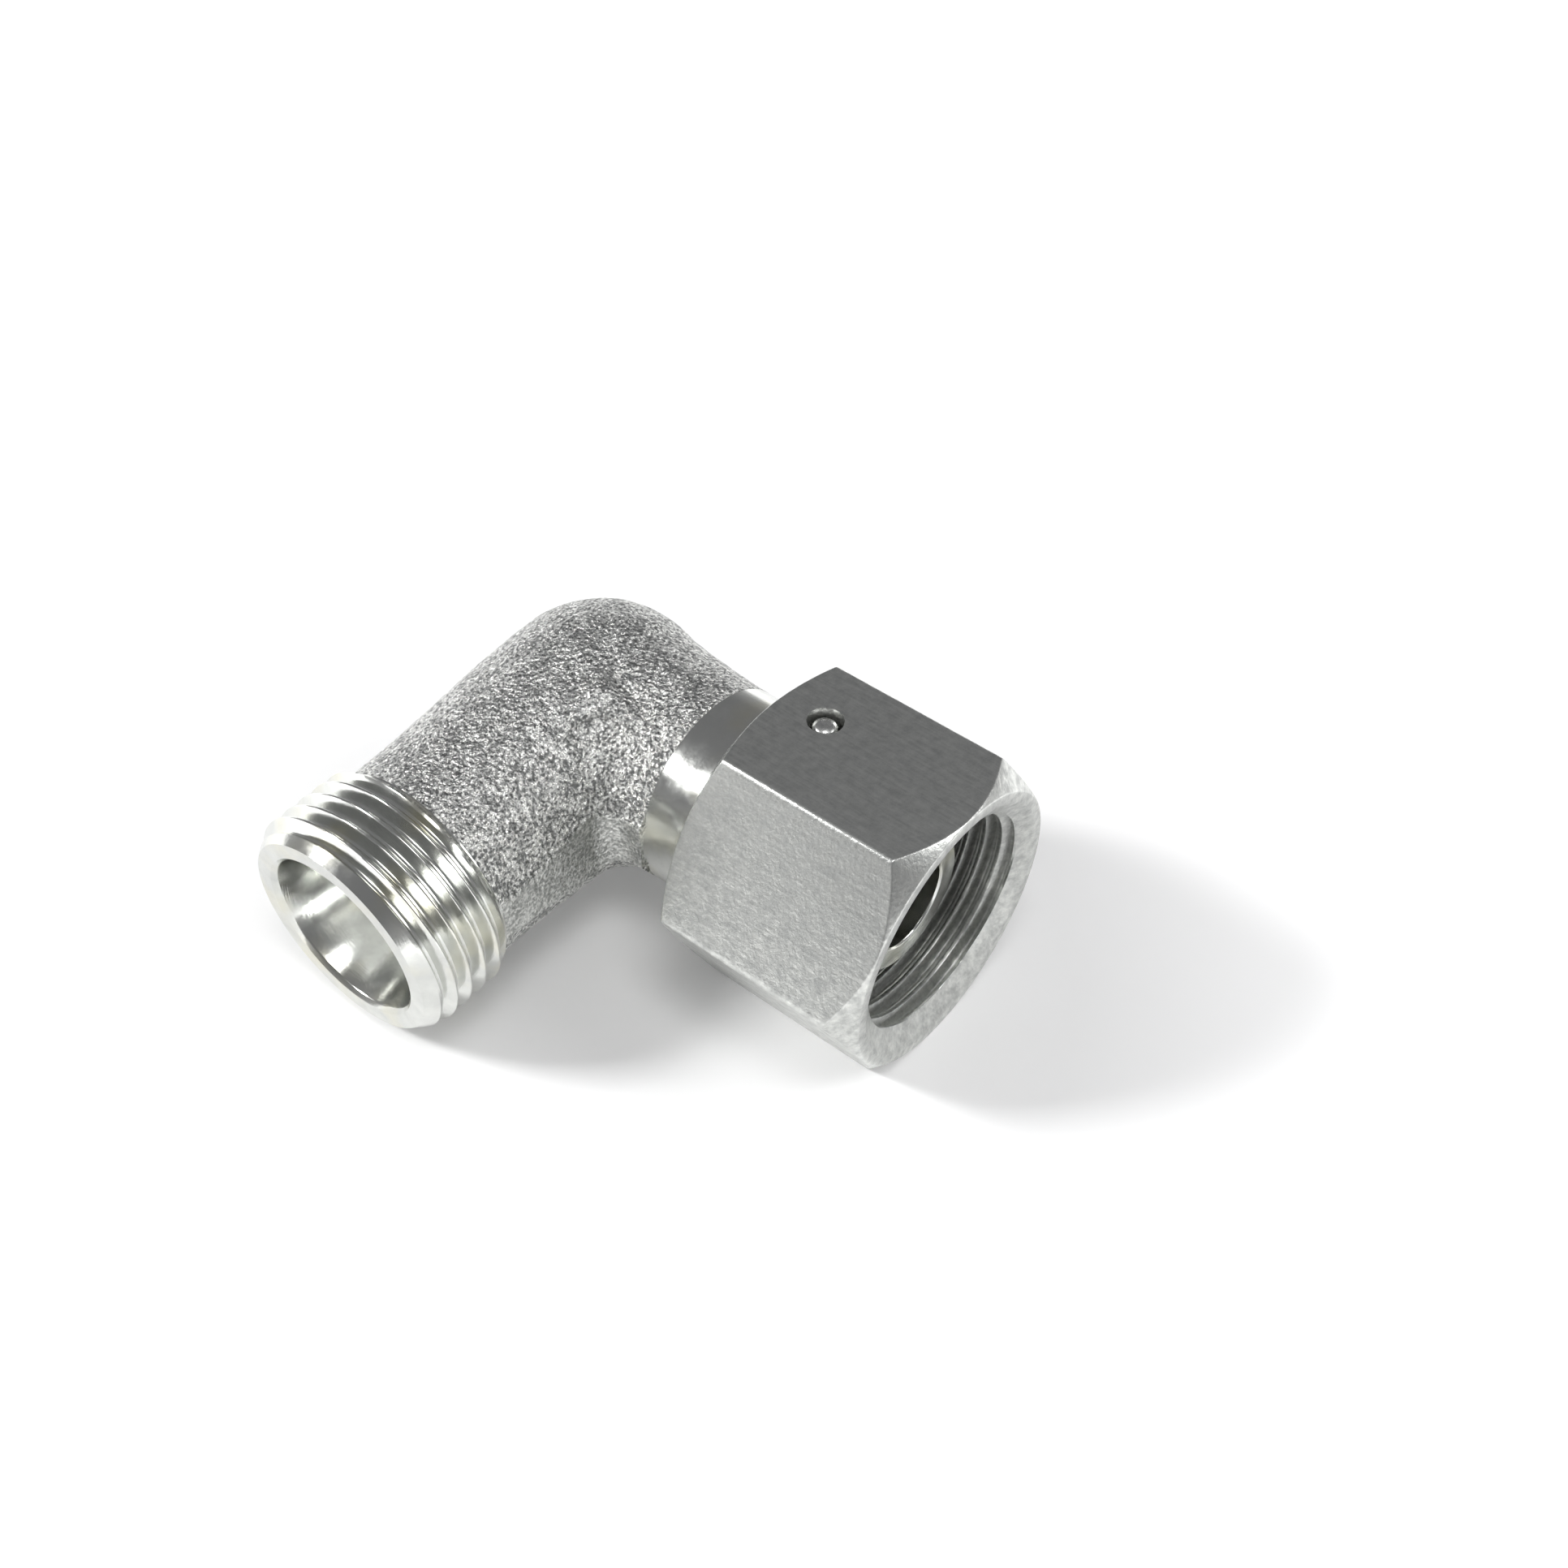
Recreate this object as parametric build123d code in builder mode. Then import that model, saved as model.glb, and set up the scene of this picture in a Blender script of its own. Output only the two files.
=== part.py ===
"""Adjustable 90 degree hydraulic elbow with a swivel nut, for 12 mm tube (heavy series).

Lengths are millimetres and angles are degrees. The part lies as it comes to rest: the nut stands
on one flat of its hexagon, and the male arm hangs down until its thread touches the floor.
+Y runs along the nut's axis towards its mouth, +X follows the male arm seen from above, +Z is up.
The origin is the middle of the part's footprint, on the floor.
"""

import os
from math import asin, atan2, cos, degrees, hypot, pi, radians, sin, sqrt, tan

from build123d import *

os.makedirs("parts", exist_ok=True)

# Tube that the fitting is made for
tube_d = 12.0
flow_bore_d = 8.0
spigot_bore_d = 7.6
drill_point_angle = 118.0
bore_overrun = 1.0

# Metric thread, the same size on the male end and in the nut
thread_major_d = 20.0
thread_pitch = 1.5
thread_flank_angle = 30.0
male_thread_depth = 0.92
nut_thread_depth = 0.81
thread_crest_width = 0.19
nut_crest_width = 0.375

# Forged corner and arms, measured from the point where the two axes cross
knuckle_r = 10.0
male_arm_root_r = 9.8
nut_arm_root_r = 9.55
nut_arm_neck_r = 8.8
nut_arm_blank_r = 9.3
male_face = 29.5
male_thread_length = 8.5
nut_arm_length = 12.0
crotch_fillet_r = 2.2
trim_half_width = 8.85
trim_corner_r = 2.3

# Male end: thread lead-in and the 24 degree cone with its tube socket
male_lead_length = 1.6
male_face_rim_r = 8.85
cone_half_angle = 12.0
cone_mouth_d = 14.3
cone_mouth_break = 0.35
tube_socket_depth = 7.5
tube_socket_clearance = 0.05

# Spigot inside the nut: turned shank, sealing cone and O-ring
shank_r = 8.7
shank_end = 25.0
shank_break = 0.4
nose_length = 7.0
nose_tip_r = 5.95
nose_tip_break = 0.3
o_ring_section_d = 1.5
o_ring_setback = 2.6
o_ring_groove_width = 2.0
o_ring_groove_r = 5.2
o_ring_seat_clearance = 0.03

# Swivel nut
nut_across_flats = 24.0
nut_side_count = 6
nut_rear = 17.3
nut_front_overhang = 3.8
nut_rear_rim_r = 11.8
nut_rear_chamfer_angle = 30.0
nut_front_rim_r = 11.9
nut_front_chamfer_angle = 45.0
nut_running_clearance = 0.08
nut_bore_break = 0.4
nut_shoulder_gap = 0.2
nut_relief_length = 1.4
nut_relief_depth = 0.25
countersink_r = 11.0
countersink_half_angle = 60.0

# Wire that holds the nut on the spigot, and the hole that it is fed through
wire_d = 2.0
wire_middle = 21.6
wire_clearance = 0.1
wire_turn_angle = 330.0
wire_bend_r = 1.5
wire_hole_r = 1.4
wire_hole_offset = 1.4
wire_end_depth = 0.7

# Values that follow from the sizes above
thread_major_r = thread_major_d / 2
male_root_r = thread_major_r - male_thread_depth
nut_minor_r = thread_major_r - nut_thread_depth
tube_socket_r = tube_d / 2 + tube_socket_clearance
flow_bore_r = flow_bore_d / 2
spigot_bore_r = spigot_bore_d / 2
drill_point_slope = tan(radians(drill_point_angle / 2))
cone_mouth_r = cone_mouth_d / 2
hex_half = nut_across_flats / 2
hex_corner_r = hex_half / cos(pi / nut_side_count)
wire_r = wire_d / 2
wire_ring_r = shank_r + nut_running_clearance / 2
nut_bore_r = shank_r + nut_running_clearance
nose_tip = shank_end + nose_length
o_ring_middle = nose_tip - o_ring_setback
nut_front = nose_tip + nut_front_overhang
nut_shoulder = shank_end + nut_shoulder_gap
nut_thread_start = nut_shoulder + nut_relief_length
flank_slope = tan(radians(thread_flank_angle))
cone_slope = tan(radians(cone_half_angle))
nose_base_r = nose_tip_r + (nose_tip - shank_end) * cone_slope
male_thread_start = male_face - male_thread_length
male_crest_front = male_face - male_lead_length

# The male arm dips until the front crest of its thread is on the floor beside the nut's flat
crest_reach = hypot(male_crest_front, thread_major_r)
rest_dip = degrees(asin(hex_half / crest_reach) - atan2(thread_major_r, male_crest_front))
dip_cos = cos(radians(rest_dip))
dip_sin = sin(radians(rest_dip))

# The footprint's middle is the origin, so the crossing of the axes lies off it
reach_x = male_face * dip_cos + male_face_rim_r * dip_sin
centre = Vector(
    (hex_corner_r - reach_x) / 2,
    (max(knuckle_r, thread_major_r) - nut_front) / 2,
    hex_half,
)
male_direction = Vector(dip_cos, 0, -dip_sin)
nut_direction = Vector(0, 1, 0)
elbow_up = Vector(dip_sin, 0, dip_cos)
male_axis = Axis(centre, male_direction)
nut_axis = Axis(centre, nut_direction)

# In the three section planes X runs along the axis and Y is the radius
male_section = Plane(origin=centre, x_dir=male_direction, z_dir=-nut_direction)
spigot_section = Plane(origin=centre, x_dir=nut_direction, z_dir=male_direction)
nut_section = Plane(origin=centre, x_dir=nut_direction, z_dir=(1, 0, 0))
elbow_plane = Plane(origin=centre, x_dir=male_direction, z_dir=elbow_up)
male_cross_plane = Plane(origin=centre, x_dir=elbow_up, z_dir=male_direction)
nut_cross_plane = Plane(origin=centre, x_dir=(1, 0, 0), z_dir=nut_direction)

# The wire lies in a plane across the nut, whose own X points up through the wire's hole
wire_centre = centre + nut_direction * wire_middle
wire_plane = Plane(origin=wire_centre, x_dir=(0, 0, 1), z_dir=nut_direction)
wire_hole_plane = Plane(origin=wire_centre - Vector(wire_hole_offset, 0, 0), z_dir=(0, 0, 1))


def ridge_points(start, end, root_r, crest_r, crest_width):
    """Outline of a thread's ridges between two stations, as (station, radius) points.

    Each ridge is a trapezium with a flat crest. The ridges are one pitch apart, and the last one
    ends at the second station.
    """
    flank = abs(crest_r - root_r) * flank_slope
    foot = crest_width + 2 * flank
    count = int((end - start - foot) / thread_pitch) + 1
    points = []
    for index in reversed(range(count)):
        front = end - index * thread_pitch
        points.append((front - foot, root_r))
        points.append((front - foot + flank, crest_r))
        points.append((front - flank, crest_r))
        points.append((front, root_r))
    return points


# Elbow body: one forging, trimmed, turned and bored
with BuildPart() as elbow_body:
    with Locations(male_cross_plane.location):
        Sphere(knuckle_r)
    with BuildSketch(male_section):
        Polygon(
            (0, 0),
            (0, male_arm_root_r),
            (male_thread_start, male_root_r),
            (male_thread_start, 0),
            align=None,
        )
    revolve(axis=male_axis)
    with BuildSketch(spigot_section):
        with BuildLine():
            Polyline((shank_end, nut_arm_blank_r), (shank_end, 0), (0, 0), (0, nut_arm_root_r))
            ThreePointArc(
                (0, nut_arm_root_r),
                (nut_arm_length, nut_arm_neck_r),
                (shank_end, nut_arm_blank_r),
            )
        make_face()
    revolve(axis=nut_axis)
    inner_corner = centre + male_direction * nut_arm_root_r + nut_direction * male_arm_root_r
    crotch_edges = elbow_body.edges().filter_by(
        lambda edge: (edge.center() - inner_corner).length < knuckle_r / 2
    )
    fillet(crotch_edges, crotch_fillet_r)

    # The forging's flash is trimmed off flat along the inner side of both arms
    with BuildSketch(elbow_plane):
        with Locations((trim_half_width, trim_half_width)):
            Rectangle(
                male_thread_start - trim_half_width,
                shank_end - trim_half_width,
                align=(Align.MIN, Align.MIN),
            )
        fillet(vertices().sort_by_distance((0, 0))[0], trim_corner_r)
    extrude(amount=knuckle_r, both=True, mode=Mode.SUBTRACT)

    # The spigot is turned out of the longer arm
    with BuildSketch(spigot_section):
        Polygon(
            (nut_arm_length, shank_r),
            (nut_arm_length, knuckle_r),
            (shank_end, knuckle_r),
            (shank_end, shank_r - shank_break),
            (shank_end - shank_break, shank_r),
            align=None,
        )
    revolve(axis=nut_axis, mode=Mode.SUBTRACT)
    with BuildSketch(spigot_section):
        Polygon(
            (shank_end - shank_break, 0),
            (shank_end, nose_base_r),
            (nose_tip - nose_tip_break, nose_tip_r + nose_tip_break * cone_slope),
            (nose_tip, nose_tip_r - nose_tip_break),
            (nose_tip, 0),
            align=None,
        )
    revolve(axis=nut_axis)
    with BuildSketch(spigot_section):
        with Locations((o_ring_middle, (nose_base_r + o_ring_groove_r) / 2)):
            Rectangle(o_ring_groove_width, nose_base_r - o_ring_groove_r)
    revolve(axis=nut_axis, mode=Mode.SUBTRACT)
    with Locations(wire_plane.location):
        Torus(wire_ring_r, wire_r + wire_clearance, mode=Mode.SUBTRACT)

    # Male thread, with a lead-in down to the rim of the end face
    lead_slope = (thread_major_r - male_face_rim_r) / male_lead_length
    lead_root = male_face - (male_root_r - male_face_rim_r) / lead_slope
    male_flank = male_thread_depth * flank_slope
    with BuildSketch(male_section):
        Polygon(
            (male_thread_start, 0),
            (male_thread_start, male_root_r),
            *ridge_points(
                male_thread_start,
                male_crest_front + male_flank,
                male_root_r,
                thread_major_r,
                thread_crest_width,
            ),
            (lead_root, male_root_r),
            (male_face, male_face_rim_r),
            (male_face, 0),
            align=None,
        )
    revolve(axis=male_axis)

    # Sealing cone, tube socket and flow bore of the male end
    cone_length = (cone_mouth_r - tube_socket_r) / cone_slope
    with BuildSketch(male_section):
        Polygon(
            (male_face, 0),
            (male_face, cone_mouth_r + cone_mouth_break),
            (male_face - cone_mouth_break, cone_mouth_r),
            (male_face - cone_mouth_break - cone_length, tube_socket_r),
            (male_face - tube_socket_depth, tube_socket_r),
            (male_face - tube_socket_depth, flow_bore_r),
            (-bore_overrun, flow_bore_r),
            (-bore_overrun - flow_bore_r / drill_point_slope, 0),
            align=None,
        )
    revolve(axis=male_axis, mode=Mode.SUBTRACT)

    # Flow bore of the spigot
    with BuildSketch(spigot_section):
        Polygon(
            (nose_tip, 0),
            (nose_tip, spigot_bore_r),
            (-bore_overrun, spigot_bore_r),
            (-bore_overrun - spigot_bore_r / drill_point_slope, 0),
            align=None,
        )
    revolve(axis=nut_axis, mode=Mode.SUBTRACT)

elbow_body.part.label = "elbow_body"
export_step(elbow_body.part, "parts/elbow_body.step")

# Swivel nut: hexagon with chamfered ends, internal thread and the wire's half groove
with BuildPart() as swivel_nut:
    with BuildSketch(nut_cross_plane.offset(nut_rear)):
        RegularPolygon(radius=hex_corner_r, side_count=nut_side_count)
    extrude(amount=nut_front - nut_rear)
    rear_chamfer = (hex_corner_r - nut_rear_rim_r) * tan(radians(nut_rear_chamfer_angle))
    front_chamfer = (hex_corner_r - nut_front_rim_r) * tan(radians(nut_front_chamfer_angle))
    with BuildSketch(nut_section):
        Polygon(
            (nut_rear, 0),
            (nut_rear, nut_rear_rim_r),
            (nut_rear + rear_chamfer, hex_corner_r),
            (nut_front - front_chamfer, hex_corner_r),
            (nut_front, nut_front_rim_r),
            (nut_front, 0),
            align=None,
        )
    revolve(axis=nut_axis, mode=Mode.INTERSECT)

    countersink_depth = (countersink_r - nut_minor_r) / tan(radians(countersink_half_angle))
    nut_flank = nut_thread_depth * flank_slope
    nut_ridges = ridge_points(
        nut_thread_start,
        nut_front - countersink_depth + nut_flank,
        thread_major_r,
        nut_minor_r,
        nut_crest_width,
    )
    with BuildSketch(nut_section):
        Polygon(
            (nut_rear, 0),
            (nut_rear, nut_bore_r + nut_bore_break),
            (nut_rear + nut_bore_break, nut_bore_r),
            (nut_shoulder, nut_bore_r),
            (nut_shoulder, thread_major_r + nut_relief_depth),
            (nut_thread_start, thread_major_r + nut_relief_depth),
            *nut_ridges[:-1],
            (nut_front, countersink_r),
            (nut_front, 0),
            align=None,
        )
    revolve(axis=nut_axis, mode=Mode.SUBTRACT)
    with Locations(wire_plane.location):
        Torus(wire_ring_r, wire_r + wire_clearance, mode=Mode.SUBTRACT)
    with BuildSketch(wire_hole_plane.offset(wire_ring_r - wire_hole_r)):
        Circle(wire_hole_r)
    extrude(amount=hex_half, mode=Mode.SUBTRACT)

swivel_nut.part.label = "swivel_nut"
export_step(swivel_nut.part, "parts/swivel_nut.step")

# Retaining wire: an open ring in the shared groove, with one end bent out into the nut's hole
with BuildPart() as retaining_wire:
    bend_outer_r = wire_ring_r + wire_bend_r
    bend_offset = wire_hole_offset + wire_bend_r
    bend_height = sqrt(bend_outer_r**2 - bend_offset**2)
    bend_start = -degrees(atan2(bend_offset, bend_height))
    with BuildLine(wire_plane) as wire_path:
        ring = CenterArc((0, 0), wire_ring_r, bend_start - wire_turn_angle, wire_turn_angle)
        bend = TangentArc(ring @ 1, (bend_height, -wire_hole_offset), tangent=ring % 1)
        Line(bend @ 1, (hex_half - wire_end_depth, -wire_hole_offset))
    with BuildSketch(Plane(origin=wire_path.line @ 0, z_dir=wire_path.line % 0)):
        Circle(wire_r)
    sweep(path=wire_path.line)

retaining_wire.part.label = "retaining_wire"
export_step(retaining_wire.part, "parts/retaining_wire.step")

# O-ring in the groove of the sealing cone
with BuildPart() as o_ring:
    with Locations(nut_cross_plane.offset(o_ring_middle).location):
        Torus(
            o_ring_groove_r + o_ring_seat_clearance + o_ring_section_d / 2,
            o_ring_section_d / 2,
        )

o_ring.part.label = "o_ring"
export_step(o_ring.part, "parts/o_ring.step")
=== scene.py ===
"""Hydraulic elbow with a swivel nut: detailed surfaces, finishes and a studio.

Shapes are worked out in millimetres, about the point where the elbow's two axes cross. Points of
the body are (along the male arm, along the nut arm, up out of the elbow's plane). Points of the nut
are (across, along the nut, up). Blender's own values are metres.
"""

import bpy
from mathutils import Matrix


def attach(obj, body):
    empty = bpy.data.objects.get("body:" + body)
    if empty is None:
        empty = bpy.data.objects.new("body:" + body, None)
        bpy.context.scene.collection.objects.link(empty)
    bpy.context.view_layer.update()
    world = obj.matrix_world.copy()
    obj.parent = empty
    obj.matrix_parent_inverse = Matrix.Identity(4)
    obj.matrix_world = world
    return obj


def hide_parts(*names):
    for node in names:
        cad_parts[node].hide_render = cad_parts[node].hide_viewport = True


bl_info = {
    "name": "Hydraulic Elbow",
    "version": (1, 0, 0),
    "blender": (4, 5, 0),
    "location": "View3D > Sidebar > Elbow",
    "description": "Forged elbow, male thread, spigot, swivel nut, thrust wire and studio",
    "category": "Add Mesh",
}

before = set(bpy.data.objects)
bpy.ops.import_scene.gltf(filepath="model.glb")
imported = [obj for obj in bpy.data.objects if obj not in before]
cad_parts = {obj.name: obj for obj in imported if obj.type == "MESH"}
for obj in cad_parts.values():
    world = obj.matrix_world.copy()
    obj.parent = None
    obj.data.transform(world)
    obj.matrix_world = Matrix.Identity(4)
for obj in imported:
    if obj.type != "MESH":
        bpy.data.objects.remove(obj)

import math
from itertools import product
from types import SimpleNamespace

import bmesh
import bpy
import numpy as np
from bpy.props import FloatProperty, FloatVectorProperty, IntProperty, PointerProperty
from mathutils import Matrix, Vector

MM = 0.001
TAU = 2 * math.pi
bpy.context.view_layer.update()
# Where the two axes cross, and how far the male arm dips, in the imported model
CENTRE = np.array([-8.104233, -12.9, 12.0])
DIP = math.radians(4.16513)
ELBOW_AXES = np.array(
    [[math.cos(DIP), 0, -math.sin(DIP)], [0, 1, 0], [math.sin(DIP), 0, math.cos(DIP)]]
)
# In metres: points closer than this are one point, and edges shorter than this go
SEAM_GAP = 2e-7
SLIVER = 1e-7
# Numbers that turn a cube's corner into a random value, the same in every run
HASH_STEPS = np.array([73856093, 19349663, 83492791])
HASH_SEED = 2654435761
HASH_MIX = 1274126177
HASH_TOP = 0xFFFFFF


def length(name, description, millimetres):
    """A size that a user can change."""
    value = millimetres * MM
    return FloatProperty(
        name=name, description=description, default=value, unit="LENGTH", precision=5
    )


def colour(name, description, value):
    """A colour that a user can change."""
    return FloatVectorProperty(
        name=name, description=description, subtype="COLOR", size=3, min=0, max=1, default=value
    )


def share(name, description, value):
    """A share from 0 to 1 that a user can change."""
    return FloatProperty(
        name=name, description=description, subtype="FACTOR", min=0, max=1, default=value
    )


def count(name, description, value):
    """A number of rows or columns that a user can change."""
    return IntProperty(name=name, description=description, min=3, default=value)


def own_properties(group):
    """The properties that this file gave to a group."""
    return [p for p in group.bl_rna.properties if p.identifier not in ("rna_type", "name")]


def sizes(group):
    """The group's values, with each length in millimetres."""
    values = {}
    for prop in own_properties(group):
        value = getattr(group, prop.identifier)
        if getattr(prop, "unit", "NONE") == "LENGTH":
            value = value / MM
        values[prop.identifier] = value
    return SimpleNamespace(**values)


class ForgingSettings(bpy.types.PropertyGroup):
    """Sizes of the forged corner and its two arms."""

    knuckle_r: length("Knuckle Radius", "Radius of the rounded corner", 10.03)
    male_neck_r: length("Male Neck Radius", "Radius where the male thread starts", 9.05)
    male_neck_at: length("Male Neck Station", "Where the male arm is narrowest", 20.0)
    nut_root_r: length("Nut Arm Radius", "Radius of the nut arm at the corner", 9.6)
    nut_neck_r: length("Nut Arm Neck", "Radius of the nut arm at its shoulder", 8.72)
    nut_neck_at: length("Nut Neck Station", "Where the nut arm is narrowest", 12.0)
    male_end: length("Male End", "Where the forged skin gives way to the thread", 21.05)
    nut_end: length("Nut End", "Where the forged skin gives way to the turned shank", 12.05)
    pivot: length("Bend Radius", "Bend radius of the centre line", 12.0)
    web_r: length("Web Blend", "Blend between the arms above the hollow", 4.4)
    root_r: length("Root Blend", "Blend between the arms inside the hollow", 2.2)
    valley_top: length("Hollow Top", "Height at which the hollow is narrowest", 8.0)
    valley_at: length("Hollow Middle", "Distance of the hollow's middle from both axes, at its top", 7.6)
    valley_r: length("Hollow Radius", "Radius of the hollow at its top", 2.7)
    web_start: length("Web Start", "How far from the crown the blend starts", 1.5)
    web_full: length("Web Full", "How far from the crown the blend is full", 4.8)
    trim_half: length("Trim Half Width", "Distance of the trimmed land from both axes", 8.85)
    trim_r: length("Trim Radius", "Radius of the trimmed land's corner", 2.3)
    male_bore_r: length("Male Bore Radius", "Radius of the male arm's bore", 4.0)
    nut_bore_r: length("Nut Bore Radius", "Radius of the nut arm's bore", 3.8)
    bore_overrun: length("Bore Overrun", "How far each drill went past the crossing", 1.0)
    swell: length("Swell", "Height of the forged skin's slow swells", 0.05)
    grain: length("Grain", "Height of the blasted grain in the mesh", 0.018)
    skin_rows: count("Skin Rows", "Rows along the outer skin", 210)
    bore_rows: count("Bore Rows", "Rows along the bore", 40)
    columns: count("Columns", "Columns around the body", 380)


class MaleEndSettings(bpy.types.PropertyGroup):
    """Sizes of the male thread and its cone."""

    face: length("Face", "Station of the end face", 29.5)
    rear: length("Rear", "Where this end starts, inside the forging", 20.9)
    runout: length("Runout", "Where the thread has run out at the back", 21.05)
    major_r: length("Crest Radius", "Radius of the thread's crests", 10.0)
    root_r: length("Root Radius", "Radius of the thread's roots", 9.08)
    pitch: length("Pitch", "Distance from one crest to the next", 1.5)
    crest_at: length("Crest Station", "Station of one crest at the start angle", 27.13)
    lead_start: length("Lead Start", "Where the lead-in starts", 27.9)
    rim_r: length("Rim Radius", "Radius of the end face's rim", 8.85)
    mouth_r: length("Mouth Radius", "Radius of the cone at its mouth", 7.15)
    mouth_break: length("Mouth Break", "Bevel at the mouth", 0.35)
    socket_r: length("Socket Radius", "Radius of the tube socket", 6.05)
    socket_depth: length("Socket Depth", "Depth of the tube socket from the face", 7.5)
    bore_r: length("Bore Radius", "Radius of the flow bore", 4.0)
    columns: count("Columns", "Columns around the thread", 360)


class SpigotSettings(bpy.types.PropertyGroup):
    """Sizes of the turned spigot inside the nut."""

    start: length("Start", "Where the spigot starts, inside the forging", 11.9)
    shank_r: length("Shank Radius", "Radius of the turned shank", 8.7)
    shank_end: length("Shank End", "Where the shank ends and the nose starts", 25.0)
    groove_at: length("Groove Station", "Middle of the wire's groove", 21.6)
    groove_r: length("Groove Radius", "Radius of the groove's section", 1.1)
    ring_r: length("Ring Radius", "Radius of the wire's ring", 8.74)
    nose_base_r: length("Nose Base", "Radius of the nose at its base", 7.438)
    nose_tip: length("Nose Tip", "Station of the nose's tip", 32.0)
    nose_tip_r: length("Nose Tip Radius", "Radius of the nose at its tip", 5.95)
    seal_at: length("Seal Station", "Middle of the O-ring's groove", 29.4)
    seal_half: length("Seal Half Width", "Half the width of the O-ring's groove", 1.0)
    seal_floor_r: length("Seal Floor", "Radius of the O-ring's groove at its floor", 5.2)
    bore_r: length("Bore Radius", "Radius of the flow bore", 3.8)
    columns: count("Columns", "Columns around the spigot", 240)


class NutSettings(bpy.types.PropertyGroup):
    """Sizes of the swivel nut."""

    half: length("Half Width", "Half the width across the flats", 12.0)
    rear: length("Rear", "Station of the rear face", 17.3)
    front: length("Front", "Station of the front face", 35.8)
    rear_rim_r: length("Rear Rim", "Radius of the rear face's rim", 11.8)
    front_rim_r: length("Front Rim", "Radius of the front face's rim", 11.9)
    bore_r: length("Bore Radius", "Radius of the smooth bore", 8.78)
    bore_break: length("Bore Break", "Bevel at the bore's rear edge", 0.4)
    shoulder: length("Shoulder", "Station of the shoulder behind the thread", 25.2)
    thread_start: length("Thread Start", "Where the thread starts", 26.6)
    relief_r: length("Relief Radius", "Radius of the relief behind the thread", 10.25)
    root_r: length("Root Radius", "Radius of the thread's roots", 10.0)
    depth: length("Thread Depth", "Depth of the thread", 0.81)
    pitch: length("Pitch", "Distance from one crest to the next", 1.5)
    crest_at: length("Crest Station", "Station of one crest at the start angle", 33.0)
    sink_r: length("Countersink Radius", "Radius of the countersink at the front", 11.0)
    edge_power: FloatProperty(
        name="Edge Sharpness",
        description="How sharp the six long edges are, higher is sharper",
        default=120.0,
        min=10,
    )
    edge_reach: length("Edge Reach", "How far the chamfers' edges are eased", 0.12)
    hole_r: length("Hole Radius", "Radius of the wire's hole", 1.4)
    hole_x: length("Hole Offset", "How far the hole lies to the side", -1.4)
    hole_at: length("Hole Station", "Middle of the hole along the nut", 21.6)
    hole_break: length("Hole Break", "Bevel around the hole", 0.12)
    burr: length("Burr", "Height of the burr at the hole", 0.05)


class WireSettings(bpy.types.PropertyGroup):
    """Sizes of the thrust wire."""

    wire_r: length("Wire Radius", "Radius of the wire", 1.0)
    ring_r: length("Ring Radius", "Radius of the ring", 8.74)
    bend_r: length("Bend Radius", "Radius of the bend", 1.5)
    hole_x: length("Hole Offset", "How far the hole lies to the side", 1.4)
    ring_at: length("Ring Station", "Station of the ring along the nut", 21.6)
    end_at: length("End Height", "Height of the bent end above the axis", 11.3)
    turn: FloatProperty(
        name="Turn",
        description="How far the ring goes round",
        subtype="ANGLE",
        unit="ROTATION",
        default=math.radians(330),
    )


class SealSettings(bpy.types.PropertyGroup):
    """Sizes of the O-ring."""

    ring_r: length("Ring Radius", "Radius of the ring's middle", 5.98)
    section_r: length("Section Radius", "Radius of the ring's section", 0.75)
    ring_at: length("Ring Station", "Station of the ring along the nut arm", 29.4)


class FinishSettings(bpy.types.PropertyGroup):
    """Colours of the finishes."""

    zinc_light: colour("Zinc Light", "Bright zinc", (0.74, 0.75, 0.72))
    zinc_dark: colour("Zinc Dark", "Dull zinc", (0.42, 0.43, 0.42))
    zinc_yellow: colour("Zinc Yellow", "Straw tint of the passivation", (0.78, 0.74, 0.55))
    # Painted glints: the bright specks stand in for sparkle off the blasted facets, not for the zinc's
    # own colour
    painted_speck_glint: colour("Blasted Light", "Bright specks of the blasted skin", (0.98, 0.98, 0.95))
    # Painted shade: the dark tone stands in for shade in the blasted pits
    painted_pit_shade: colour("Blasted Dark", "Dark pits of the blasted skin", (0.22, 0.225, 0.22))
    wire_light: colour("Wire", "Bright drawn wire", (0.80, 0.80, 0.78))
    seal_black: colour("Seal", "Rubber of the O-ring", (0.016, 0.016, 0.017))


class StageSettings(bpy.types.PropertyGroup):
    """Floor, lamps and camera."""

    floor_half: length("Floor Half Width", "Half the floor's width", 1500.0)
    floor_colour: colour("Floor Colour", "Colour of the floor", (0.93, 0.93, 0.93))
    wall_level: share("Wall Level", "Brightness of the studio above the floor", 0.2)
    floor_glow: share("Floor Glow", "How much the floor is lifted to white, away from the elbow", 0.85)


SETTINGS = {
    "elbow_forging": ForgingSettings,
    "elbow_male_end": MaleEndSettings,
    "elbow_spigot": SpigotSettings,
    "elbow_nut": NutSettings,
    "elbow_wire": WireSettings,
    "elbow_seal": SealSettings,
    "elbow_finish": FinishSettings,
    "elbow_stage": StageSettings,
}


# Shapes


def together(*parts):
    """Arrays of one shape as the parts of one array of points."""
    return np.stack(parts, axis=-1)


def smooth_step(value, low, high):
    """0 below low, 1 above high, and 3 t squared less 2 t cubed between them."""
    t = np.clip((value - low) / (high - low), 0, 1)
    return t * t * (3 - 2 * t)


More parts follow.
